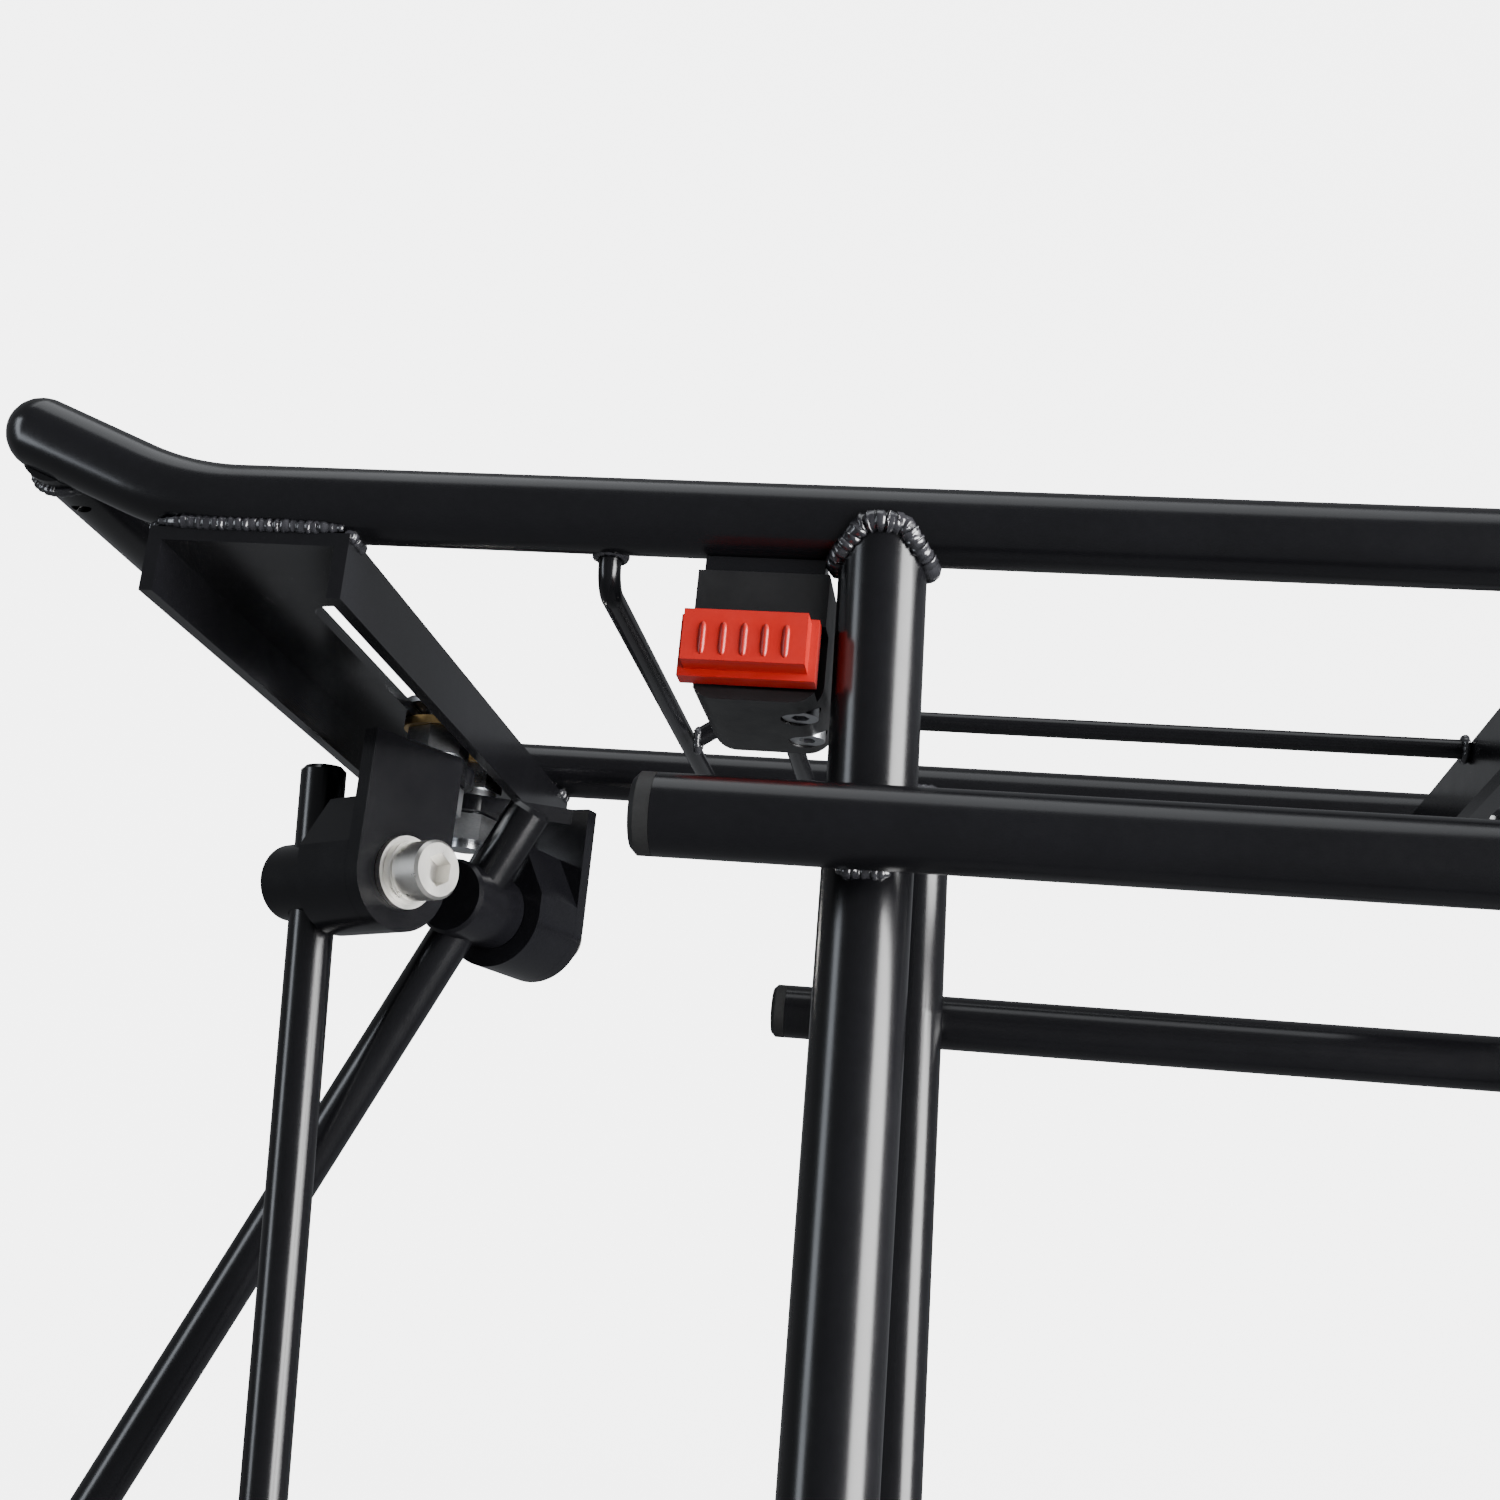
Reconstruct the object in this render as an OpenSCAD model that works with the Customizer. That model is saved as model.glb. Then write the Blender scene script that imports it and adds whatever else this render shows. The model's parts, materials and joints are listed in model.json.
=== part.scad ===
// Rear rack for a bicycle: two platform rails with a raised front hoop, lower bag rails,
// four legs, two swivelling seat-stay clamps in a slotted cross channel, and a push-button latch.
// Origin: on the common axis of the two lower dropout holes, midway between the feet.
// +X to the rear of the bicycle, +Y to its right side, +Z up.

/* [Platform] */
// Diameter of the platform and bag rails
rail_d = 10.7; // [9:0.1:12]
// Distance of each platform rail's axis from the middle plane
rail_y = 68.3; // [60:0.1:75]
// Height of the platform rail axes above the dropout holes
rail_z = 345; // [320:1:370]
// Where the platform rails start to rise towards the front
bend_x = -101; // [-103:0.5:-99]
// Rise angle of the front hoop
hoop_angle = 22; // [16:1:26]
// Rear end of the platform rails
rear_x = 228; // [220:1:240]

/* [Bag rails] */
// Drop of the lower bag rails under the platform rails
drop = 44.9; // [42:0.1:48]
// Front end of the bag rails, without their plugs
bag_front_x = -34; // [-38:0.5:-32]
// Rear end of the bag rails, without their plugs
bag_rear_x = 168; // [164:1:172]
// Wall of the bag rails
bag_wall = 1.5; // [1.2:0.1:2]

/* [Legs] */
// Diameter of the four legs
leg_d = 12; // [11:0.1:12]
// Where the front leg meets the bag rail
leg_x = -8; // [-8:0.5:-7]
// Where the rear leg meets the platform rail
rear_leg_x = 172; // [165:1:176]
// Distance of the leg's lower part from the middle plane
foot_y = 81; // [79:0.5:84]
// Diameter of the dropout bolt holes
dropout_hole_d = 5.5; // [5.2:0.1:6.5]

/* [Cross channels] */
// Front to back depth of a channel
channel_w = 29.4; // [29:0.1:30]
// Height of a channel's lips
lip_h = 9.65; // [9:0.05:9.7]
// Sheet thickness
sheet_t = 2; // [1.5:0.1:2.2]
// Width of the slot for the clamp bolts
slot_w = 8; // [7.2:0.1:8.4]

/* [Stay clamps] */
// Diameter of the stay rods
stay_d = 8; // [7.6:0.1:8]
// Length of a stay rod from its barrel to its eye
stay_len = 160; // [120:1:175]
// Turn of the left clamp about its upright bolt
left_yaw = -31.2; // [-34:0.1:-29]
// Turn of the right clamp about its upright bolt
right_yaw = 72; // [71:0.1:73]
// Lean of the left stay rod in its barrel
left_lean = 5.2; // [0:0.1:12]
// Lean of the right stay rod in its barrel
right_lean = 30; // [22:0.1:34]
// Sideways place of the left clamp in the slot
left_y = 13; // [11:0.5:13]
// Sideways place of the right clamp in the slot
right_y = 37; // [37:0.5:39]

/* [Latch] */
// Width of the push button
button_w = 16.4; // [15:0.1:17]
// Height of the push button
button_h = 8.6; // [8:0.1:9]

/* [Hidden] */
$fn = 64;
weld_gap = 0.05;                       // paint-thin gap left at each welded joint
rail_r = rail_d / 2;
leg_r = leg_d / 2;
stay_r = stay_d / 2;
bag_z = rail_z - drop;
bag_y = rail_y + rail_r + leg_r + 0.15;
bend_r = 43;                           // radius of the rail's bend, on its axis
hoop_run = 17;                         // straight length past the bend
hoop_x = bend_x - bend_r * sin(hoop_angle) - hoop_run * cos(hoop_angle);
hoop_z = rail_z + bend_r * (1 - cos(hoop_angle)) + hoop_run * sin(hoop_angle);
cross_x = hoop_x + 2.2;
cross_z = hoop_z - 2;
rear_cross_x = rear_x - 12;
channel_top = rail_z - rail_r - weld_gap;
channel_len = 2 * (rail_y + 3.2);
front_channel_x = -97.6;
rear_channel_x = 96.9;
slot_x = -93.5;
slot_len = 94;
wire_d = 3.2;
wire_r = wire_d / 2;
wire_z = rail_z - 9.6;
wire_front_x = -47.1;
wire_rear_x = -28.3;
wire_bend_r = 4;
spine_z = rail_z - 6.15;
splay_z = 150;                         // height where the legs turn upright
leg_end_z = 26;
knuckle = 0.06;                        // the bends stand this much proud of the tube
bend_steps = 4;                        // straight steps that make the rail's bend
leg_top_back = 1.2;                    // the front leg leans this far forward at its top
front_leg_foot_x = -4;
rear_leg_foot_x = 15;
foot_t = 4;
foot_in_y = foot_y - leg_r - foot_t - weld_gap;
clamp_z = rail_z - 38.5;                 // height of the clamp bolts
tongue_x = 8.5;                       // tongue's mid plane from the upright bolt
tongue_y = -12.4;
tongue_w = 20;
plate_t = 3;
barrel_d = 13.6;
barrel_len = 14;
rod_x = tongue_x - 21.6;
bolt_r = 3;                            // M6
head_d = 10;
nut_af = 10;
lip_bottom = channel_top - lip_h;
tab_top = lip_bottom - 0.6;
stay_up = 20.5;                          // rod's length above the barrel's axis
eye_r = 5.5;
eye_hole_d = 5.3;
latch_x0 = -33.9;
latch_x1 = -15.9;
latch_top = rail_z - 7.7;
latch_bottom = rail_z - 26;
latch_y = -rail_y - 1;
latch_depth = 24;
button_x = -25.6;
button_z = rail_z - 19.2;
run_gap = 0.25;

// ---- helpers ----
// A round bar from p to q.
module bar(p, q, d) {
    v = q - p;
    h = norm(v);
    translate(p) rotate([0, acos(v[2] / h), atan2(v[1], v[0])]) cylinder(h = h, d = d);
}

// A round bar along X, drawn from x0 to x1.
module bar_x(x0, x1, y, z, d) {
    translate([x0, y, z]) rotate([0, 90, 0]) cylinder(h = x1 - x0, d = d);
}

// A cylinder along the clamp's own X, drawn from x0 to x1 at the clamp bolt's height.
module on_bolt(x0, x1, r) {
    translate([x0, tongue_y, clamp_z]) rotate([0, 90, 0]) cylinder(h = x1 - x0, r = r);
}

// Places a clamp piece: side is -1 for the left clamp and 1 for the right.
module at_clamp(side) {
    translate([slot_x, side < 0 ? left_y : right_y, 0])
        rotate([0, 0, side < 0 ? left_yaw : right_yaw]) children();
}

// Places a piece in the barrel's turned frame: the rod runs down -Z through the barrel's middle.
module at_rod(side) {
    at_clamp(side) translate([rod_x, tongue_y, clamp_z])
        rotate([side < 0 ? left_lean : right_lean, 0, 0]) children();
}

// ---- platform ----
// A rail's axis on the side y, from its rear end, through the bend, to the front of the hoop.
function rail_path(y) = let (step = hoop_angle / bend_steps, r = bend_r / cos(step / 2)) concat(
    [[rear_x, y, rail_z]],
    [for (i = [0.5:bend_steps]) [bend_x - r * sin(i * step), y,
                                 rail_z + bend_r - r * cos(i * step)]],
    [[hoop_x, y, hoop_z]]);

module rail(y) {
    p = rail_path(y);
    color([0.09, 0.09, 0.1]) {
        for (i = [1:len(p) - 1]) bar(p[i], p[i - 1], rail_d);
        for (q = p) translate(q) sphere(d = rail_d + knuckle);
    }
}

module left_rail() { mirror([0, 1, 0]) rail(rail_y); }
module right_rail() { translate([0, 2 * rail_y, 0]) left_rail(); }

// A cross tube with its ends shaped to the rails.
module front_cross_tube() {
    color([0.09, 0.09, 0.1]) difference() {
        translate([cross_x, 0, cross_z]) rotate([90, 0, 0])
            cylinder(h = 2 * rail_y, d = rail_d, center = true);
        for (s = [-1, 1]) {
            bar([hoop_x - 30 * cos(hoop_angle), s * rail_y, hoop_z + 30 * sin(hoop_angle)],
                [hoop_x + 30 * cos(hoop_angle), s * rail_y, hoop_z - 30 * sin(hoop_angle)],
                rail_d + 2 * weld_gap);
            // vent hole for the weld
            translate([cross_x, s * (rail_y - 10), cross_z - rail_r]) rotate([0, 35, 0])
                cylinder(h = 6, d = 2.4, center = true);
        }
    }
}

module rear_cross_tube() {
    color([0.09, 0.09, 0.1]) difference() {
        translate([rear_cross_x, 0, rail_z]) rotate([90, 0, 0])
            cylinder(h = 2 * rail_y, d = rail_d, center = true);
        for (s = [-1, 1])
            bar_x(rear_cross_x - 20, rear_cross_x + 20, s * rail_y, rail_z, rail_d + 2 * weld_gap);
    }
}

// ---- cross channels ----
module slot_cut(x, y0, y1, w) {
    for (y = [y0 + w / 2, y1 - w / 2])
        translate([x, y, channel_top - sheet_t - 1]) cylinder(h = sheet_t + 2, d = w);
    translate([x - w / 2, y0 + w / 2, channel_top - sheet_t - 1])
        cube([w, y1 - y0 - w, sheet_t + 2]);
}

module channel(x) {
    translate([x - channel_w / 2, -channel_len / 2, channel_top - sheet_t])
        cube([channel_w, channel_len, sheet_t]);
    for (s = [-1, 1])
        translate([x + s * (channel_w / 2 - sheet_t / 2) - sheet_t / 2, -channel_len / 2,
                   channel_top - lip_h])
            cube([sheet_t, channel_len, lip_h]);
}

module front_channel() {
    color([0.1, 0.1, 0.11]) difference() {
        channel(front_channel_x);
        slot_cut(slot_x, -slot_len / 2, slot_len / 2, slot_w);
    }
}

module rear_channel() {
    color([0.1, 0.1, 0.11]) difference() {
        channel(rear_channel_x);
        for (s = [-1, 1])
            slot_cut(rear_channel_x, s * 30 - 12, s * 30 + 12, 6);
    }
}

// ---- wires ----
module cross_wire(x) {
    arm_y = rail_y - 2.5;
    color([0.12, 0.12, 0.13]) difference() {
        union() {
            translate([x, 0, wire_z]) rotate([90, 0, 0])
                cylinder(h = 2 * (arm_y - wire_bend_r), d = wire_d, center = true);
            for (s = [-1, 1]) {
                translate([x, s * (arm_y - wire_bend_r), wire_z + wire_bend_r])
                    rotate([0, 90, 0]) rotate([0, 0, s > 0 ? 0 : -90])
                        rotate_extrude(angle = 90) translate([wire_bend_r, 0]) circle(d = wire_d);
                translate([x, s * arm_y, wire_z + wire_bend_r]) cylinder(h = 6, d = wire_d);
            }
        }
        for (s = [-1, 1])
            bar_x(x - 10, x + 10, s * rail_y, rail_z, rail_d + 2 * weld_gap);
    }
}

module front_wire() { cross_wire(wire_front_x); }
module rear_wire() { cross_wire(wire_rear_x); }

module spine_wire() {
    knee = [-36.5, 0, spine_z];
    color([0.12, 0.12, 0.13]) {
        bar_x(knee[0], rear_channel_x - channel_w / 2 - weld_gap, 0, spine_z, wire_d);
        translate(knee) sphere(d = wire_d);
        bar([wire_front_x + 3.15, 0, spine_z - 5.1], knee, wire_d);
    }
}

// ---- bag rails ----
module bag_rail(side) {
    color([0.09, 0.09, 0.1]) difference() {
        bar_x(bag_front_x, bag_rear_x, side * bag_y, bag_z, rail_d);
        bar_x(bag_front_x - 1, bag_rear_x + 1, side * bag_y, bag_z, rail_d - 2 * bag_wall);
    }
}

module left_bag_rail() { bag_rail(-1); }
module right_bag_rail() { bag_rail(1); }

module plug() {
    translate([-2, 0, 0]) rotate([0, 90, 0]) cylinder(h = 1.95, d = rail_d);
    translate([-2.8, 0, 0]) rotate([0, 90, 0]) cylinder(h = 0.8, d1 = rail_d - 1.6, d2 = rail_d);
    translate([-0.1, 0, 0]) rotate([0, 90, 0]) cylinder(h = 8, d = rail_d - 2 * bag_wall - 0.1);
}

module rail_plugs() {
    color([0.06, 0.06, 0.06]) for (s = [-1, 1]) {
        translate([bag_front_x, s * bag_y, bag_z]) plug();
        translate([bag_rear_x, s * bag_y, bag_z]) rotate([0, 0, 180]) plug();
    }
}

// ---- legs and feet ----
// A right-hand leg through four points, its top shaped to the platform rail.
module leg(xs) {
    ys = [rail_y - 0.6, rail_y, foot_y, foot_y];
    zs = [rail_z, bag_z, splay_z, leg_end_z];
    p = [for (i = [0:3]) [xs[i], ys[i], zs[i]]];
    color([0.09, 0.09, 0.1]) difference() {
        union() {
            for (i = [0:2]) bar(p[i + 1], p[i], leg_d);
            for (i = [1:3]) translate(p[i]) sphere(d = leg_d + knuckle);
        }
        bar_x(xs[0] - 20, xs[0] + 20, rail_y, rail_z, rail_d + 2 * weld_gap);
        // the leg's top stays under the rail's axis
        translate([xs[0] - 20, rail_y - 20, rail_z - 2.5]) cube([40, 40, 20]);
    }
}

function front_leg_xs() = [leg_x - leg_top_back, leg_x, leg_x + 3, front_leg_foot_x];
function rear_leg_at(z) = rear_leg_foot_x
    + (rear_leg_x - rear_leg_foot_x) * (z - leg_end_z) / (rail_z - leg_end_z);
function rear_leg_xs() = [rear_leg_x, rear_leg_at(bag_z), rear_leg_at(splay_z), rear_leg_foot_x];

module right_front_leg() { leg(front_leg_xs()); }
module right_rear_leg() { leg(rear_leg_xs()); }
module left_front_leg() { mirror([0, 1, 0]) right_front_leg(); }
module left_rear_leg() { mirror([0, 1, 0]) right_rear_leg(); }

module foot(side) {
    y0 = side < 0 ? -foot_in_y - foot_t : foot_in_y;
    color([0.09, 0.09, 0.1]) difference() {
        translate([0, y0 + foot_t, 0]) rotate([90, 0, 0]) linear_extrude(height = foot_t) {
            circle(r = 9);
            polygon([[-9, 0], [9, 0], [30, 48], [19, 54], [-8, 54], [-12, 48]]);
        }
        for (h = [[0, 0], [4, 17]])
            translate([h[0], y0 - 1, h[1]]) rotate([-90, 0, 0])
                cylinder(h = foot_t + 2, d = dropout_hole_d);
    }
}

module left_foot() { foot(-1); }
module right_foot() { foot(1); }

// ---- rear light plate ----
module light_plate() {
    plate_w = 74;
    plate_h = 30;
    x0 = rear_cross_x - 1.5;
    z1 = rail_z - rail_r - weld_gap;
    color([0.1, 0.1, 0.11]) difference() {
        translate([x0, -plate_w / 2, z1 - plate_h]) cube([3, plate_w, plate_h]);
        for (s = [-1, 1]) {
            translate([x0 - 1, s * 25, z1 - 14]) rotate([0, 90, 0]) cylinder(h = 5, d = 5.5);
            for (up = [0, 1])
                translate([x0 - 1, s * plate_w / 2, z1 - plate_h + up * plate_h])
                    rotate([45, 0, 0]) cube([10, 6, 6], center = true);
        }
    }
}

// ---- upright pivot bolt and its nuts ----
pivot_washer_t = 1.6;
pivot_nut_t = lip_h - sheet_t - pivot_washer_t - 0.1 + 0.25;
plate_under = channel_top - sheet_t;
nut_top = plate_under - pivot_washer_t - 0.1;
ring_t = 1.6;
tab_bottom = tab_top - plate_t;
lock_t = 5;

module pivot_bolt(side) {
    color([0.7, 0.7, 0.72]) at_clamp(side) {
        translate([0, 0, channel_top + run_gap]) cylinder(h = 1.2, d = 14);
        translate([0, 0, channel_top + run_gap + 1.2]) cylinder(h = 1.4, d1 = 14, d2 = 8);
        translate([0, 0, tab_bottom - lock_t - 1.5])
            cylinder(h = channel_top + run_gap + 0.2 - tab_bottom + lock_t + 1.5, r = bolt_r);
    }
}

module pivot_washer(side) {
    color([0.75, 0.62, 0.4]) at_clamp(side) difference() {
        translate([0, 0, nut_top + 0.05]) cylinder(h = pivot_washer_t - 0.15, d = 13);
        translate([0, 0, nut_top - 1]) cylinder(h = 5, r = bolt_r + 0.1);
    }
}

module pivot_nut(side) {
    color([0.7, 0.7, 0.72]) at_clamp(side) difference() {
        union() {
            translate([0, 0, nut_top - pivot_nut_t + ring_t])
                cylinder(h = pivot_nut_t - ring_t, d = nut_af / cos(30), $fn = 6);
            translate([0, 0, nut_top - pivot_nut_t]) cylinder(h = ring_t + 0.1, d = 9.6);
        }
        translate([0, 0, nut_top - 10]) cylinder(h = 12, r = bolt_r + 0.05);
        translate([0, 0, nut_top - pivot_nut_t - 1]) cylinder(h = ring_t + 1, r = 4.1);
    }
}

module nut_ring(side) {
    color([0.1, 0.4, 0.8]) at_clamp(side) difference() {
        translate([0, 0, nut_top - pivot_nut_t]) cylinder(h = ring_t - 0.05, r = 4.05);
        translate([0, 0, nut_top - pivot_nut_t - 1]) cylinder(h = ring_t + 2, r = bolt_r + 0.05);
    }
}

module lock_nut(side) {
    color([0.7, 0.7, 0.72]) at_clamp(side) difference() {
        translate([0, 0, tab_bottom - run_gap - lock_t])
            cylinder(h = lock_t, d = nut_af / cos(30), $fn = 6);
        translate([0, 0, tab_bottom - lock_t - 3]) cylinder(h = lock_t + 6, r = bolt_r + 0.05);
    }
}

module left_pivot_bolt() { pivot_bolt(-1); }
module right_pivot_bolt() { pivot_bolt(1); }
module left_pivot_washer() { pivot_washer(-1); }
module right_pivot_washer() { pivot_washer(1); }
module left_pivot_nut() { pivot_nut(-1); }
module right_pivot_nut() { pivot_nut(1); }
module left_nut_ring() { nut_ring(-1); }
module right_nut_ring() { nut_ring(1); }
module left_lock_nut() { lock_nut(-1); }
module right_lock_nut() { lock_nut(1); }

// ---- clamp tongue, collar, bolt and washers ----
module tongue(side) {
    y0 = tongue_y - tongue_w / 2;
    y1 = tongue_y + tongue_w / 2;
    x1 = tongue_x + plate_t / 2;
    color([0.1, 0.1, 0.11]) at_clamp(side) difference() {
        union() {
            translate([0, 0, tab_bottom]) linear_extrude(height = plate_t) {
                circle(r = 7.2);
                polygon([[-4.5, -5.6], [x1, y0], [x1, y1], [7, 1.5], [4, 5.9]]);
            }
            translate([tongue_x - plate_t / 2, y0, clamp_z])
                cube([plate_t, tongue_w, tab_top - clamp_z]);
            on_bolt(tongue_x - plate_t / 2, tongue_x + plate_t / 2, tongue_w / 2);
        }
        translate([0, 0, tab_bottom - 1]) cylinder(h = plate_t + 2, r = bolt_r + 0.1);
        on_bolt(tongue_x - plate_t, tongue_x + plate_t, bolt_r + 0.15);
    }
}

barrel_x1 = rod_x + barrel_len / 2;
collar_x0 = barrel_x1 + run_gap;
collar_x1 = tongue_x - plate_t / 2 - 0.05;
washer_x = tongue_x + plate_t / 2 + 0.05;

// The thick block between the tongue and the barrel: round below, narrowing towards its top.
module collar(side) {
    half = tongue_w / 2;
    color([0.1, 0.1, 0.11]) at_clamp(side) difference() {
        union() {
            on_bolt(collar_x0, collar_x1, half);
            translate([collar_x0, tongue_y, clamp_z]) rotate([90, 0, 90])
                linear_extrude(height = collar_x1 - collar_x0)
                    polygon([[-half, 0], [half, 0], [half, 3.6], [5, 13], [-5, 13], [-half, 3.6]]);
        }
        on_bolt(collar_x0 - 1, collar_x1 + 1, bolt_r + 0.1);
    }
}

module flat_washer(side) {
    color([0.75, 0.75, 0.77]) at_clamp(side) difference() {
        on_bolt(washer_x, washer_x + 1.2, 6.2);
        on_bolt(washer_x - 1, washer_x + 2.2, bolt_r + 0.2);
    }
}

module spring_washer(side) {
    x0 = washer_x + 1.25;
    color([0.75, 0.75, 0.77]) at_clamp(side) difference() {
        on_bolt(x0, x0 + 1.5, 5.4);
        on_bolt(x0 - 1, x0 + 2.5, bolt_r + 0.15);
        translate([x0 - 1, tongue_y - 0.6, clamp_z]) cube([4, 1.2, 8]);
    }
}

module clamp_bolt(side) {
    x0 = washer_x + 2.8;
    head_h = 6;
    color([0.78, 0.78, 0.8]) at_clamp(side) difference() {
        union() {
            on_bolt(x0, x0 + head_h - 0.5, head_d / 2);
            translate([x0 + head_h - 0.5, tongue_y, clamp_z]) rotate([0, 90, 0])
                cylinder(h = 0.5, d1 = head_d, d2 = head_d - 1);
            on_bolt(rod_x + stay_r + 0.5, x0 + 0.1, bolt_r);
        }
        translate([x0 + head_h - 3.4, tongue_y, clamp_z]) rotate([0, 90, 0])
            cylinder(h = 4, d = 5 / cos(30), $fn = 6);
    }
}

module barrel(side) {
    color([0.1, 0.1, 0.11]) difference() {
        at_clamp(side) union() {
            on_bolt(barrel_x1 - barrel_len + 0.6, barrel_x1, barrel_d / 2);
            translate([barrel_x1 - barrel_len, tongue_y, clamp_z]) rotate([0, 90, 0])
                cylinder(h = 0.6, d1 = barrel_d - 1.2, d2 = barrel_d);
        }
        at_clamp(side) on_bolt(rod_x + stay_r + 0.3, barrel_x1 + 1, bolt_r + 0.05);
        at_rod(side) cylinder(h = 40, r = stay_r + 0.06, center = true);
    }
}

module stay(side) {
    flat_t = 3;
    color([0.1, 0.1, 0.11]) at_rod(side) difference() {
        union() {
            translate([0, 0, -stay_len + 14]) cylinder(h = stay_len - 14 + stay_up - 0.8, r = stay_r);
            translate([0, 0, stay_up - 0.8]) cylinder(h = 0.8, r1 = stay_r, r2 = stay_r - 0.8);
            translate([0, 0, -stay_len + 11]) cylinder(h = 3, r1 = 2.2, r2 = stay_r);
            translate([-flat_t / 2, -eye_r, -stay_len]) cube([flat_t, 2 * eye_r, 12.5]);
            translate([-flat_t / 2, 0, -stay_len]) rotate([0, 90, 0])
                cylinder(h = flat_t, r = eye_r);
        }
        translate([-flat_t, 0, -stay_len]) rotate([0, 90, 0])
            cylinder(h = 2 * flat_t, d = eye_hole_d);
    }
}

module left_tongue() { tongue(-1); }
module right_tongue() { tongue(1); }
module left_collar() { collar(-1); }
module right_collar() { collar(1); }
module left_flat_washer() { flat_washer(-1); }
module right_flat_washer() { flat_washer(1); }
module left_spring_washer() { spring_washer(-1); }
module right_spring_washer() { spring_washer(1); }
module left_clamp_bolt() { clamp_bolt(-1); }
module right_clamp_bolt() { clamp_bolt(1); }
module left_barrel() { barrel(-1); }
module right_barrel() { barrel(1); }
module left_stay() { stay(-1); }
module right_stay() { stay(1); }

// ---- latch ----
slide_w = 8;
slide_t = 4;
slide_z = button_z - slide_t / 2;
slide_in = latch_y + latch_depth + 3;  // start of the catch
press = 4;                             // travel of the button
base_t = 3.2;                          // thickness of the button's base
screw_x = latch_x1 - 3.3;
screw_ys = [latch_y + 7.8, latch_y + 18.3];
bracket_t = 2.1;
spring_r = 1.6;
spring_z = slide_z - 2.2;
spring_y0 = latch_y + 11;              // the spring's moving end
spring_len = 8.6;

// Room for the rear wire where it passes the latch, from height z up.
module wire_way(z) {
    translate([wire_rear_x - 2.1, latch_y + 1.4, z]) cube([4.2, latch_depth + 2, 20]);
}

// Welded plate under the left rail that the latch is screwed to.
module latch_bracket() {
    color([0.09, 0.09, 0.1]) difference() {
        translate([latch_x0 + 0.8, latch_y + 0.4, latch_top + 0.1])
            cube([latch_x1 - latch_x0 - 1.6, latch_depth - 1.5, bracket_t]);
        bar_x(latch_x0 - 1, latch_x1 + 1, -rail_y, rail_z, rail_d + 2 * weld_gap);
        // slot for the bent end of the rear wire
        translate([wire_rear_x - 2.1, latch_y + 1.4, latch_top - 1]) cube([4.2, 7, 5]);
        for (y = screw_ys)
            translate([screw_x, y, latch_top - 1]) cylinder(h = 5, d = 3.3);
    }
}

module latch_housing() {
    w = latch_x1 - latch_x0;
    h = latch_top - latch_bottom;
    r = 4;
    color([0.05, 0.05, 0.055]) difference() {
        translate([latch_x0, latch_y + latch_depth, latch_bottom]) rotate([90, 0, 0])
            linear_extrude(height = latch_depth) {
                translate([0, r]) square([w, h - r]);
                translate([r, 0]) square([w - 2 * r, r + 0.01]);
                for (x = [r, w - r]) translate([x, r]) circle(r = r);
            }
        wire_way(wire_z - wire_r - 0.5);
        // recess that the button is pressed into
        translate([latch_x0 - 1, latch_y - 1, button_z - button_h / 2 - 0.9])
            cube([w + 2, press + 1.2, button_h + 0.6]);
        // way for the slide
        translate([button_x - slide_w / 2 - run_gap, latch_y - 1, slide_z - run_gap])
            cube([slide_w + 2 * run_gap, latch_depth + 2, slide_t + 2 * run_gap]);
        // pocket for the spring
        translate([button_x - spring_r - 0.4, spring_y0 - 3, spring_z - spring_r - 0.2])
            cube([2 * spring_r + 0.8, spring_len + 3.3, spring_r + 2.5]);
        for (y = screw_ys)
            translate([screw_x, y, latch_bottom - 1]) {
                cylinder(h = 40, d = 3.4);
                cylinder(h = 4, d = 5.4);
            }
    }
}

module latch_button() {
    z0 = button_z - button_h / 2 - 0.6;
    color([0.85, 0.12, 0.08])
        translate([button_x - button_w / 2 - 1, latch_y - 0.3, z0]) rotate([90, 0, 0])
            difference() {
                union() {
                    cube([button_w + 2, button_h, base_t]);
                    translate([1, 1, base_t]) cube([button_w, button_h - 1.6, 4]);
                }
                translate([-1, -1, 5.6]) rotate([-45, 0, 0]) translate([0, -6, 0])
                    cube([button_w + 4, 6, 6]);
            }
}

module latch_slide() {
    x0 = button_x - slide_w / 2;
    color([0.16, 0.16, 0.17]) {
        translate([x0, latch_y - 0.25, slide_z]) cube([slide_w, slide_in - latch_y, slide_t]);
        // catch on the inner end, its nose pointing up
        translate([x0, slide_in - 1, slide_z]) cube([slide_w, 6, slide_t]);
        translate([x0, slide_in + 2, slide_z]) cube([slide_w, 3.5, slide_t + 4]);
        // post for the spring
        translate([button_x - 1.6, spring_y0 - 2.1, spring_z - spring_r]) cube([3.2, 2, 4]);
    }
}

// A compression spring drawn as a sleeve with one ridge per coil.
module latch_spring() {
    spring_wall = 0.4;
    coils = 7;
    pitch = spring_len / coils;
    color([0.7, 0.7, 0.7])
        translate([button_x, spring_y0 + spring_len, spring_z]) rotate([90, 0, 0])
            rotate_extrude() polygon(concat(
                [[spring_r - 2 * spring_wall, spring_len], [spring_r - 2 * spring_wall, 0]],
                [for (i = [0:coils - 1]) each [[spring_r - spring_wall, i * pitch],
                                               [spring_r, (i + 0.5) * pitch]]],
                [[spring_r - spring_wall, spring_len]]));
}

module latch_screws() {
    color([0.7, 0.7, 0.72]) for (y = screw_ys)
        translate([screw_x, y, latch_bottom + 0.3]) difference() {
            union() {
                cylinder(h = 2.5, d = 5);
                cylinder(h = latch_top + 3 - latch_bottom - 0.3, d = 3);
            }
            translate([0, 0, -1]) cylinder(h = 2.6, d = 2.6, $fn = 6);
        }
}

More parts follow.
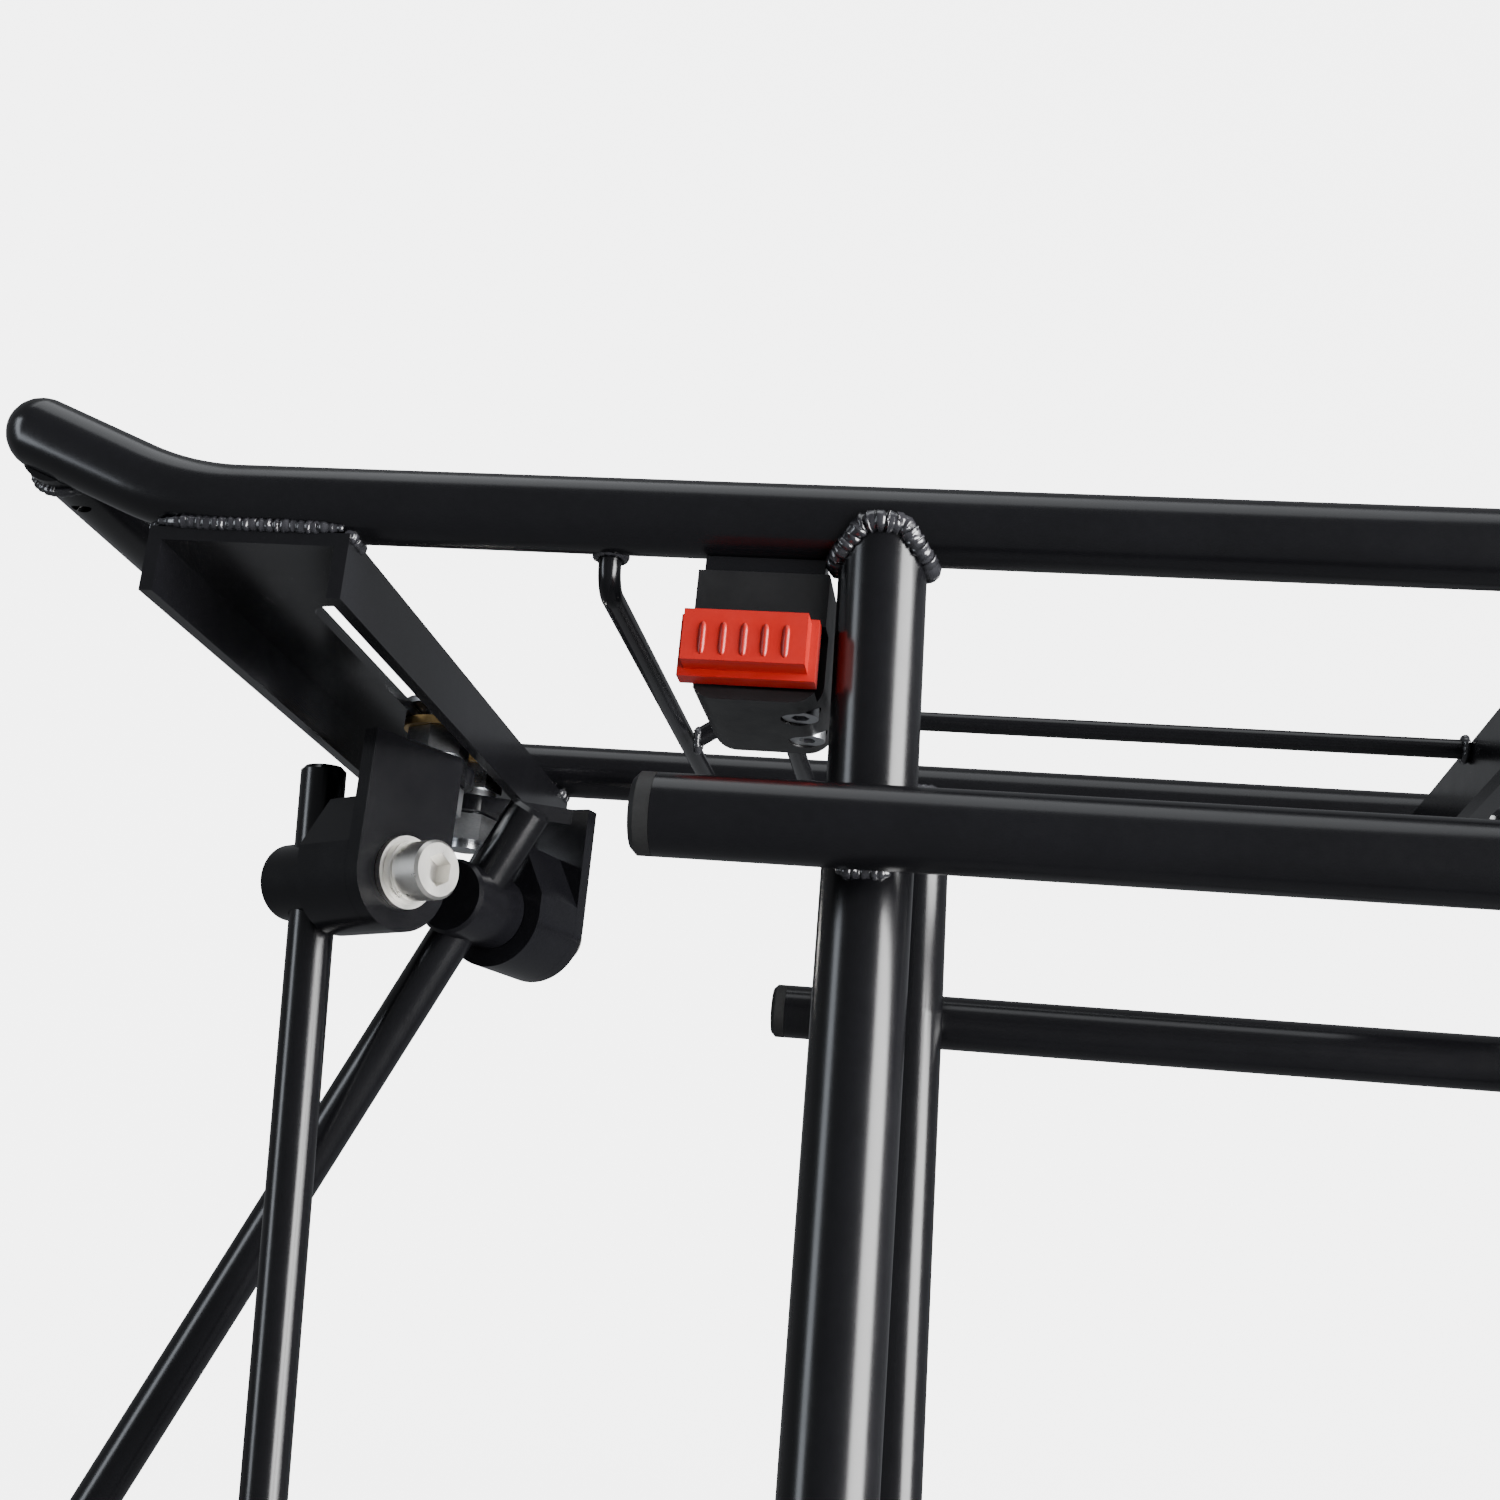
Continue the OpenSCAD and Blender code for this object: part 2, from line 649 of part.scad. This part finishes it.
left_rail();
right_rail();
front_cross_tube();
rear_cross_tube();
front_channel();
rear_channel();
front_wire();
rear_wire();
spine_wire();
left_bag_rail();
right_bag_rail();
rail_plugs();
left_front_leg();
right_front_leg();
left_rear_leg();
right_rear_leg();
left_foot();
right_foot();
light_plate();
left_pivot_bolt();
left_pivot_washer();
left_pivot_nut();
left_nut_ring();
left_lock_nut();
left_tongue();
left_collar();
left_clamp_bolt();
left_spring_washer();
left_flat_washer();
left_barrel();
left_stay();
right_pivot_bolt();
right_pivot_washer();
right_pivot_nut();
right_nut_ring();
right_lock_nut();
right_tongue();
right_collar();
right_clamp_bolt();
right_spring_washer();
right_flat_washer();
right_barrel();
right_stay();
latch_bracket();
latch_housing();
latch_button();
latch_slide();
latch_spring();
latch_screws();
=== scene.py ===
import json
import math
import random

import bmesh
import bpy
from mathutils import Euler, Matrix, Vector


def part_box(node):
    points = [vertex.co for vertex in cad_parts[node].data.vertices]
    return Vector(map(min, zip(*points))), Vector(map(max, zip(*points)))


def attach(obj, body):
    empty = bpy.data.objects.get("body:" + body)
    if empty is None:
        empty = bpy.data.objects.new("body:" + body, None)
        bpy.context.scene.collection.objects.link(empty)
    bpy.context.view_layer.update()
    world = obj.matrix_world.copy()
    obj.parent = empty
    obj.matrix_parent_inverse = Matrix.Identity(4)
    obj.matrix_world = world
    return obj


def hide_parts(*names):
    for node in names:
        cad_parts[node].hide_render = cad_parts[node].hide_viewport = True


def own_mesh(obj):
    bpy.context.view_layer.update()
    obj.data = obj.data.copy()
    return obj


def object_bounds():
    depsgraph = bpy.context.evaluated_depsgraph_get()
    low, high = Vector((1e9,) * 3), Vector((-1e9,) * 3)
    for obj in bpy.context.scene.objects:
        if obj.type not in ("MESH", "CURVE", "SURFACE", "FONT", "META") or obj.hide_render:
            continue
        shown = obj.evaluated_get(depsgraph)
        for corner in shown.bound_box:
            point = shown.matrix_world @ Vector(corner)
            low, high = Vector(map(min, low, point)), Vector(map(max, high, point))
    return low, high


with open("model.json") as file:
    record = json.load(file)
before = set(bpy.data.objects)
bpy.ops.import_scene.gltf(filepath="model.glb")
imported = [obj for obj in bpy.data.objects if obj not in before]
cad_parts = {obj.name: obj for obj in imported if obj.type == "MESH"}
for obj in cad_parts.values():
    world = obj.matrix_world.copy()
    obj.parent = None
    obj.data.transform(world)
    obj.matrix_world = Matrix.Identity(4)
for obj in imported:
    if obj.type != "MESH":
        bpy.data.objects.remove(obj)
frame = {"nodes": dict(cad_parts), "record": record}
CAD_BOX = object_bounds()
RECORD = frame["record"]
MM = 0.001

# ---- camera: the photograph's viewing angle, from the left and below the rails ----
CAMERA_PLACE = (0.01137, -0.30962, 0.24286)
CAMERA_TURN_DEG = (105.994, -5.278, 6.982)
CAMERA_LENS_MM = 46.08
CAMERA_SENSOR_MM = 36.0

# ---- sizes read from the frame ----
RAIL_LO, RAIL_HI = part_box("right_rail")
RAIL_R = (RAIL_HI.y - RAIL_LO.y) / 2
RAIL_Y = (RAIL_HI.y + RAIL_LO.y) / 2
RAIL_Z = RAIL_LO.z + RAIL_R
BAG_LO, BAG_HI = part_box("right_bag_rail")
BAG_Y, BAG_Z = (BAG_LO.y + BAG_HI.y) / 2, (BAG_LO.z + BAG_HI.z) / 2
LEG_R = 6.05 * MM
WIRE_R = 1.6 * MM

# ---- the rise at the front of each platform rail, as in the CAD ----
RISE_ANGLE = math.radians(22)
RISE_LENGTH = 17 * MM
BEND_RADIUS = 43 * MM
BEND_X = -101 * MM
SKIN = 0.03 * MM
DOME = [math.radians(d) for d in (6, 18, 30, 42, 54, 66, 78, 89)]

# ---- finishes: dark and light are the colours that the surface wanders between ----
FINISHES = {
    "frame_black": dict(
        dark=(0.0028, 0.0028, 0.0034), light=(0.0046, 0.0046, 0.0056), rough=(0.2, 0.26),
        coat=0.2, coat_rough=0.2, grain=900.0, grain_mm=0.004, specular=0.34, peel_mm=0.006),
    "clamp_black": dict(
        dark=(0.003, 0.003, 0.0038), light=(0.0055, 0.0055, 0.0068), rough=(0.19, 0.26),
        coat=0.1, coat_rough=0.2, grain=1300.0, grain_mm=0.004, specular=0.3, peel_mm=0.006),
    "plug_plastic": dict(
        dark=(0.004, 0.004, 0.004), light=(0.008, 0.008, 0.008), rough=(0.5, 0.68),
        grain=1600.0, grain_mm=0.03),
    "housing_plastic": dict(
        dark=(0.004, 0.004, 0.0045), light=(0.007, 0.007, 0.0075), rough=(0.36, 0.46),
        grain=2200.0, grain_mm=0.022, peel_mm=0.02),
    "button_red": dict(
        dark=(0.29, 0.003, 0.0008), light=(0.34, 0.0045, 0.0014), rough=(0.34, 0.5),
        coat=0.15, coat_rough=0.2, grain=1500.0, grain_mm=0.018, peel_mm=0.03),
    "stainless": dict(
        dark=(0.8, 0.78, 0.73), light=(0.95, 0.93, 0.88), rough=(0.26, 0.38), metallic=1.0,
        grain=1100.0, grain_mm=0.002, stretch=(1.0, 3.0, 1.0)),
    "plated_steel": dict(
        dark=(0.36, 0.37, 0.39), light=(0.58, 0.59, 0.6), rough=(0.24, 0.42), metallic=1.0,
        grain=1200.0, grain_mm=0.014, stretch=(1.0, 1.0, 2.5)),
    "brass": dict(
        dark=(0.48, 0.32, 0.12), light=(0.74, 0.54, 0.26), rough=(0.28, 0.48), metallic=1.0,
        grain=1200.0, grain_mm=0.012),
    "nylon_blue": dict(
        dark=(0.012, 0.12, 0.5), light=(0.03, 0.2, 0.7), rough=(0.4, 0.55),
        grain=1800.0, grain_mm=0.02),
    "weld": dict(
        dark=(0.008, 0.008, 0.01), light=(0.03, 0.03, 0.034), rough=(0.14, 0.3),
        coat=0.6, coat_rough=0.08, grain=500.0, grain_mm=0.06, peel_mm=0.08,
        specks=(0.12, 0.12, 0.12)),
}


def link(ob):
    bpy.context.scene.collection.objects.link(ob)


def camera():
    data = bpy.data.cameras.new("camera")
    data.lens = CAMERA_LENS_MM
    data.sensor_width = CAMERA_SENSOR_MM
    data.clip_start = 0.01
    data.clip_end = 50.0
    cam = bpy.data.objects.new("camera", data)
    cam.location = CAMERA_PLACE
    cam.rotation_euler = Euler([math.radians(a) for a in CAMERA_TURN_DEG])
    link(cam)
    bpy.context.scene.camera = cam


# ---- material helpers ----
def tree(name):
    """A new material, its node tree and its Principled shader."""
    mat = bpy.data.materials.new(name)
    mat.use_nodes = True
    nt = mat.node_tree
    return mat, nt, nt.nodes["Principled BSDF"]


def coords(nt, stretch=(1.0, 1.0, 1.0)):
    """Object coordinates, stretched along an axis for brushed or drawn surfaces."""
    tc = nt.nodes.new("ShaderNodeTexCoord")
    mp = nt.nodes.new("ShaderNodeMapping")
    mp.inputs["Scale"].default_value = stretch
    nt.links.new(tc.outputs["Object"], mp.inputs["Vector"])
    return mp.outputs["Vector"]


def noise(nt, vec, scale, detail, rough=0.55):
    n = nt.nodes.new("ShaderNodeTexNoise")
    n.inputs["Scale"].default_value = scale
    n.inputs["Detail"].default_value = detail
    n.inputs["Roughness"].default_value = rough
    nt.links.new(vec, n.inputs["Vector"])
    return n.outputs["Fac"]


def ramp(nt, fac, stops):
    """A colour ramp through (place, colour) stops."""
    r = nt.nodes.new("ShaderNodeValToRGB")
    els = r.color_ramp.elements
    for i, (pos, col) in enumerate(stops):
        e = els[i] if i < 2 else els.new(pos)
        e.position = pos
        e.color = (*col, 1.0)
    nt.links.new(fac, r.inputs["Fac"])
    return r.outputs["Color"]


def spread(nt, fac, low, high):
    """Maps a noise value's middle range to low..high."""
    m = nt.nodes.new("ShaderNodeMapRange")
    m.inputs["From Min"].default_value = 0.3
    m.inputs["From Max"].default_value = 0.7
    m.inputs["To Min"].default_value = low
    m.inputs["To Max"].default_value = high
    nt.links.new(fac, m.inputs["Value"])
    return m.outputs["Result"]


def bump(nt, height, depth_mm, strength, after=None):
    """A bump from a height value, on top of the normal given in after."""
    b = nt.nodes.new("ShaderNodeBump")
    b.inputs["Strength"].default_value = strength
    b.inputs["Distance"].default_value = depth_mm * MM
    nt.links.new(height, b.inputs["Height"])
    if after:
        nt.links.new(after, b.inputs["Normal"])
    return b.outputs["Normal"]


def finish(name, dark, light, rough, grain, grain_mm, metallic=0.0, coat=0.0, coat_rough=0.1,
           specks=None, stretch=(1.0, 1.0, 1.0), specular=0.5, peel_mm=0.0):
    """A material with wandering colour, fine grain, scuffed roughness and, if asked, peel and specks."""
    broad_scale, scuff_scale, peel_scale, grain_share = 45.0, 160.0, 260.0, 0.35
    mat, nt, sh = tree(name)
    vec = coords(nt, stretch)
    broad = noise(nt, vec, broad_scale, 5.0)
    fine = noise(nt, vec, grain, 3.0)
    stops = [(0.3, dark), (0.7, light)]
    if specks:
        stops.append((0.8, specks))
    mix = nt.nodes.new("ShaderNodeMix")
    mix.inputs[0].default_value = grain_share
    nt.links.new(broad, mix.inputs[2])
    nt.links.new(fine, mix.inputs[3])
    nt.links.new(ramp(nt, mix.outputs[0], stops), sh.inputs["Base Color"])
    scuff = noise(nt, vec, scuff_scale, 8.0, 0.7)
    nt.links.new(spread(nt, scuff, rough[0], rough[1]), sh.inputs["Roughness"])
    normal = bump(nt, fine, grain_mm, 0.6)
    if peel_mm:
        normal = bump(nt, noise(nt, vec, peel_scale, 2.0), peel_mm, 0.5, normal)
    nt.links.new(normal, sh.inputs["Normal"])
    sh.inputs["Metallic"].default_value = metallic
    sh.inputs["Specular IOR Level"].default_value = specular
    sh.inputs["Coat Weight"].default_value = coat
    sh.inputs["Coat Roughness"].default_value = coat_rough
    return mat


# ---- mesh helpers ----
def piece(name, bm, body, mat):
    """Turns a bmesh into a smooth-shaded piece that rides on a body."""
    bmesh.ops.recalc_face_normals(bm, faces=bm.faces)
    ob = smooth_object(name, bm, mat)
    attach(ob, body)
    return ob


def smooth_object(name, bm, mat):
    mesh = bpy.data.meshes.new(name)
    bm.to_mesh(mesh)
    bm.free()
    for p in mesh.polygons:
        p.use_smooth = True
    mesh.materials.append(mat)
    ob = bpy.data.objects.new(name, mesh)
    link(ob)
    return ob


def turns(steps):
    """Angles of equal steps around a full circle."""
    return [2 * math.pi * k / steps for k in range(steps)]


def sweep(bm, path, radius, sides, closed=False):
    """Sweeps a circle along a path; radius is a number or a function of the point's index."""
    size = radius if callable(radius) else (lambda i: radius)
    n = len(path)
    rings = []
    side = None
    for i, p in enumerate(path):
        a = path[i - 1] if (i or closed) else p
        b = path[(i + 1) % n] if (i < n - 1 or closed) else p
        t = (b - a).normalized()
        if side is None:
            side = t.orthogonal().normalized()
        side = (side - t * side.dot(t)).normalized()
        up = t.cross(side)
        rings.append([bm.verts.new(p + (side * math.cos(u) + up * math.sin(u)) * size(i))
                      for u in turns(sides)])
    pairs = list(zip(rings, rings[1:])) + ([(rings[-1], rings[0])] if closed else [])
    for r0, r1 in pairs:
        for k in range(sides):
            bm.faces.new((r0[k], r0[(k + 1) % sides], r1[(k + 1) % sides], r1[k]))
    if not closed:
        bm.faces.new(rings[0])
        bm.faces.new(rings[-1])


def bead(bm, points, radius, rng, closed):
    """A weld bead along points: overlapping ripples with a slightly uneven width and path."""
    pitch, steps_per_ripple, fewest_steps, ripple = 1.15 * MM, 5, 8, 0.22
    uneven_width, uneven_path, end_size, end_growth = 0.07, 0.06, 0.45, 4
    length = [0.0]
    for a, b in zip(points, points[1:]):
        length.append(length[-1] + (b - a).length)
    total = length[-1]
    count = max(fewest_steps, int(total / (pitch / steps_per_ripple)))
    path, sizes = [], []
    for i in range(count + 1):
        s = total * i / count
        k = max(j for j in range(len(length)) if length[j] <= s + 1e-12)
        k = min(k, len(points) - 2)
        span = length[k + 1] - length[k]
        p = points[k].lerp(points[k + 1], (s - length[k]) / span if span else 0.0)
        phase = (s / pitch) % 1.0
        wave = 1.0 - ripple * phase + uneven_width * rng.uniform(-1, 1)
        near_end = min(s, total - s) / max(total, 1e-9)
        ends = 1.0 if closed else min(1.0, end_size + end_growth * near_end)
        wobble = Vector([rng.uniform(-1, 1) for _ in range(3)]) * radius * uneven_path
        path.append(p + wobble)
        sizes.append(radius * wave * ends)
    if closed:
        path.pop()
        sizes.pop()
    sweep(bm, path, lambda i: sizes[i], sides=10, closed=closed)


def mid(node):
    lo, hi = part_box(node)
    return (lo + hi) / 2


def leg_at(node, z):
    """Middle of a leg's cross-section at height z."""
    mesh = frame["nodes"][node].data
    xs, ys = [], []
    for e in mesh.edges:
        a, b = (mesh.vertices[i].co for i in e.vertices)
        if (a.z - z) * (b.z - z) < 0:
            q = a.lerp(b, (z - a.z) / (b.z - a.z))
            xs.append(q.x)
            ys.append(q.y)
    return Vector(((min(xs) + max(xs)) / 2, (min(ys) + max(ys)) / 2, z))


# ---- platform rails ----
def smooth_rail(name, side, mat, node):
    """The platform rail with its true round bend and domed ends, in place of the stepped one."""
    straight_steps, bend_steps, rise_steps = 48, 24, 4
    r = RAIL_R - SKIN
    y = side * RAIL_Y
    rear_x = RAIL_HI.x - RAIL_R
    rise = Vector((-math.cos(RISE_ANGLE), 0, math.sin(RISE_ANGLE)))
    bar = [Vector((rear_x + (BEND_X - rear_x) * i / straight_steps, y, RAIL_Z))
           for i in range(straight_steps + 1)]
    bar += [Vector((BEND_X - BEND_RADIUS * math.sin(a), y, RAIL_Z + BEND_RADIUS * (1 - math.cos(a))))
            for a in (RISE_ANGLE * i / bend_steps for i in range(1, bend_steps + 1))]
    bend_end = bar[-1]
    bar += [bend_end + rise * RISE_LENGTH * i / rise_steps for i in range(1, rise_steps + 1)]
    rear_dome = [Vector((rear_x + r * math.sin(a), y, RAIL_Z)) for a in reversed(DOME)]
    front_dome = [bar[-1] + rise * r * math.sin(a) for a in DOME]
    dome_sizes = [r * math.cos(a) for a in DOME]
    sizes = dome_sizes[::-1] + [r] * len(bar) + dome_sizes
    bm = bmesh.new()
    sweep(bm, rear_dome + bar + front_dome, lambda i: sizes[i], sides=48)
    ob = piece(name, bm, "frame", mat)
    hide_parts(node)


# ---- welds: each function below gives strokes, as (points, radius, closed) ----
def channel_strokes(node):
    """A row outside and a row inside each rail, and a short run at each edge of the channel."""
    row_inset, row_r, edge_inset, edge_lift, edge_r = 1.2 * MM, 1.1 * MM, 0.4 * MM, 0.1 * MM, 1.25 * MM
    lo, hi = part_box(node)
    strokes = []
    for s in (-1, 1):
        for sideways, lift in ((3.1, 0.75), (-4.0, 0.95)):
            y = s * (RAIL_Y + sideways * MM)
            z = hi.z + lift * MM
            row = [Vector((x, y, z)) for x in (lo.x + row_inset, hi.x - row_inset)]
            strokes.append((row, row_r, False))
        for x in (lo.x + edge_inset, hi.x - edge_inset):
            run = [Vector((x, s * (RAIL_Y + d * MM), hi.z + edge_lift)) for d in (-3.2, -1, 1, 2.8)]
            strokes.append((run, edge_r, False))
    return strokes


def leg_top_strokes(node, s):
    """A ring around the top of a leg, which follows the underside of the rail."""
    below_top, steps, bead_r = 7 * MM, 40, 1.6 * MM
    top = leg_at(node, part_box(node)[1].z - below_top)
    ring = []
    for u in turns(steps):
        dy = LEG_R * math.sin(u)
        reach = max((RAIL_R + 0.3 * MM) ** 2 - dy ** 2, bead_r ** 2)
        ring.append(Vector((top.x + (LEG_R + 0.2 * MM) * math.cos(u), s * top.y + dy,
                            RAIL_Z - math.sqrt(reach))))
    return [(ring, bead_r, True)]


def bag_rail_strokes(s):
    """A bead before, behind, above and below each leg, where the bag rail meets it."""
    upright_r, level_r, upright_x, level_z = 1.35 * MM, 1.2 * MM, 3.2 * MM, 4.4 * MM
    inner_y = BAG_Y - RAIL_R - 0.2 * MM
    strokes = []
    for node in ("right_front_leg", "right_rear_leg"):
        c = leg_at(node, BAG_Z)
        for d in (-1, 1):
            run = [Vector((c.x + d * upright_x, s * inner_y, BAG_Z + z * MM))
                   for z in (-4.2, -2, 0, 2, 4.2)]
            strokes.append((run, upright_r, False))
        for d in (-1, 1):
            run = [Vector((c.x + x * MM, s * (inner_y + 0.3 * MM), BAG_Z + d * level_z))
                   for x in (-3.4, 0, 3.4)]
            strokes.append((run, level_r, False))
    return strokes


def wire_strokes():
    """A ring at each end of the cross wires and the spine wire, and a run where the wires cross."""
    steps, bead_r, cross_r = 20, 0.7 * MM, 0.9 * MM
    strokes = []
    for node in ("front_wire", "rear_wire"):
        x, y = mid(node).x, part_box(node)[1].y - WIRE_R
        z = RAIL_Z - math.sqrt(max(RAIL_R ** 2 - (RAIL_Y - y) ** 2, 0)) - 0.2 * MM
        for s in (-1, 1):
            ring = [Vector((x + 2.0 * MM * math.cos(u), s * y + 2.0 * MM * math.sin(u), z))
                    for u in turns(steps)]
            strokes.append((ring, bead_r, True))
    lo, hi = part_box("spine_wire")
    for x, z in ((lo.x + 1.0 * MM, lo.z + 0.9 * MM), (hi.x - 0.6 * MM, hi.z - WIRE_R)):
        ring = [Vector((x, 1.8 * MM * math.cos(u), z + 1.8 * MM * math.sin(u))) for u in turns(steps)]
        strokes.append((ring, bead_r, True))
    cross_x, cross_z = mid("rear_wire").x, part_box("rear_wire")[0].z + 3.3 * MM
    run = [Vector((cross_x + d * MM, 0, cross_z)) for d in (-2.2, 0, 2.2)]
    strokes.append((run, cross_r, False))
    return strokes


def cross_tube_strokes():
    """A saddle-shaped ring at each end of both cross tubes."""
    steps, bead_r, saddle = 32, 0.9 * MM, 1.6 * MM
    ring_r = RAIL_R + 0.1 * MM
    strokes = []
    for node in ("front_cross_tube", "rear_cross_tube"):
        c = mid(node)
        for s in (-1, 1):
            y = s * (RAIL_Y - RAIL_R * 0.93)
            ring = [Vector((c.x + ring_r * math.cos(u), y + s * saddle * math.sin(u) ** 2,
                            c.z + ring_r * math.sin(u))) for u in turns(steps)]
            strokes.append((ring, bead_r, True))
    return strokes


def foot_strokes():
    """Two upright runs beside each leg, where it lies against its foot."""
    bead_r, beside, across_z = 1.1 * MM, 2.2 * MM, 40 * MM
    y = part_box("right_foot")[1].y + 0.3 * MM
    strokes = []
    for node in ("right_front_leg", "right_rear_leg"):
        c = leg_at(node, across_z)
        for s in (-1, 1):
            for d in (-1, 1):
                run = [Vector((c.x + d * beside, s * y, z * MM)) for z in (30, 38, 46)]
                strokes.append((run, bead_r, False))
    return strokes


def welds(mat):
    """Weld beads at every welded joint, one piece for each family of joints."""
    rng = random.Random(7)
    sides = ((-1, "left"), (1, "right"))
    families = [(node + "_welds", channel_strokes(node)) for node in ("front_channel", "rear_channel")]
    families += [(f"{side}_{end}_leg_weld", leg_top_strokes(f"right_{end}_leg", s))
                 for end in ("front", "rear") for s, side in sides]
    families += [(side + "_bag_rail_welds", bag_rail_strokes(s)) for s, side in sides]
    families += [("wire_welds", wire_strokes()),
                 ("cross_tube_welds", cross_tube_strokes()),
                 ("foot_welds", foot_strokes())]
    for name, strokes in families:
        bm = bmesh.new()
        for points, radius, closed in strokes:
            bead(bm, points, radius, rng, closed)
        piece(name, bm, "frame", mat)


# ---- latch ----
def button_grip(mat):
    """Plain moulded ribs on the button's face, where the real one carries a word."""
    ribs, first, pitch = 5, 0.2, 0.15
    heights = (-2.3, -2.15, -1.8, -1.2, 0, 1.2, 1.8, 2.15, 2.3)
    sizes = (0.08, 0.26, 0.4, 0.46, 0.46, 0.46, 0.4, 0.26, 0.08)
    lo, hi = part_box("latch_button")
    z = (lo.z + hi.z) / 2 - 0.3 * MM
    bm = bmesh.new()
    for i in range(ribs):
        x = lo.x + (hi.x - lo.x) * (first + pitch * i)
        path = [Vector((x, lo.y + 0.12 * MM, z + h * MM)) for h in heights]
        sweep(bm, path, lambda k: sizes[k] * MM, sides=14)
    piece("button_grip", bm, "latch", mat)


def spring_coil(mat):
    """The latch's wound spring, which is squeezed between the slide's post and the housing."""
    wire, coils, steps = 0.24 * MM, 7, 24
    lo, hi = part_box("latch_spring")
    c = (lo + hi) / 2
    coil_r = (hi.x - lo.x) / 2 - wire
    long = hi.y - lo.y - 2 * wire
    path = []
    for k in range(coils * steps + 1):
        u = 2 * math.pi * k / steps
        path.append(Vector((c.x + coil_r * math.cos(u), lo.y + wire + long * k / (coils * steps),
                            c.z + coil_r * math.sin(u))))
    bm = bmesh.new()
    sweep(bm, path, wire, sides=10)
    ob = piece("latch_coil", bm, "frame", mat)
    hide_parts("latch_spring")
    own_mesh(ob)


# ---- floor, backdrop and lights ----
def stage(low):
    """A pale round floor that curves up into a wall all the way round."""
    reach, bend, high, roof, hole, around = 2.4, 0.7, 4.5, 0.8, 0.02, 96
    mat, nt, sh = tree("stage_pale")
    pale = [(0.3, (0.86, 0.86, 0.86)), (0.7, (0.9, 0.9, 0.9))]
    nt.links.new(ramp(nt, noise(nt, coords(nt), 3.0, 3.0), pale), sh.inputs["Base Color"])
    sh.inputs["Roughness"].default_value = 0.9
    sh.inputs["Specular IOR Level"].default_value = 0.1
    sh.inputs["Emission Color"].default_value = (1.0, 1.0, 1.0, 1.0)
    sh.inputs["Emission Strength"].default_value = 5.0
    profile = [(hole, low), (1.0, low), (reach, low)]
    profile += [(reach + bend * math.sin(a), low + bend * (1 - math.cos(a)))
                for a in (math.radians(d) for d in range(6, 91, 6))]
    profile += [(reach + bend, low + high), (hole, low + high + roof)]
    bm = bmesh.new()
    rows = [[bm.verts.new((r * math.cos(u), r * math.sin(u), z)) for r, z in profile]
            for u in turns(around)]
    for a, b in zip(rows, rows[1:] + rows[:1]):
        for i in range(len(profile) - 1):
            bm.faces.new((a[i], a[i + 1], b[i + 1], b[i]))
    ob = smooth_object("floor", bm, mat)
    # the surround is seen, but it neither lights the object nor shows in its gloss
    ob.visible_glossy = False
    ob.visible_diffuse = False
    ob.visible_shadow = False


def softbox(name, place, target, size, power, colour=(1.0, 1.0, 1.0)):
    """A rectangular area light at place that faces target."""
    data = bpy.data.lights.new(name, "AREA")
    data.shape = "RECTANGLE"
    data.size, data.size_y = size
    data.energy = power
    data.color = colour
    ob = bpy.data.objects.new(name, data)
    ob.location = place
    aim = Vector(target) - Vector(place)
    ob.rotation_euler = aim.to_track_quat("-Z", "Y").to_euler()
    link(ob)


def lights():
    world = bpy.data.worlds.new("studio")
    world.use_nodes = True
    bg = world.node_tree.nodes["Background"]
    bg.inputs["Color"].default_value = (0.92, 0.95, 1.0, 1.0)
    bg.inputs["Strength"].default_value = 0.2
    bpy.context.scene.world = world
    middle = (0.0, 0.0, 0.28)
    softbox("key_right", (1.0, -0.5, 0.3), (-0.01, -0.07, 0.28), (0.75, 1.3), 85.0)
    softbox("top", (-0.1, -0.25, 1.5), middle, (1.2, 0.8), 5.0, (0.94, 0.97, 1.0))
    softbox("fill_left", (-1.3, -0.75, 0.35), middle, (0.35, 1.2), 9.0, (0.86, 0.92, 1.0))


def main():
    camera()
    mats = {name: finish(name, **look) for name, look in FINISHES.items()}
    for part in RECORD["subparts"]:
        ob = frame["nodes"][part["node"]]
        ob.data.materials.clear()
        ob.data.materials.append(mats[part["material_slot"]])
    smooth_rail("left_rail_tube", -1, mats["frame_black"], "left_rail")
    smooth_rail("right_rail_tube", 1, mats["frame_black"], "right_rail")
    welds(mats["weld"])
    button_grip(mats["button_red"])
    spring_coil(mats["plated_steel"])
    stage(CAD_BOX[0][2] - 0.5 * MM)
    lights()


main()
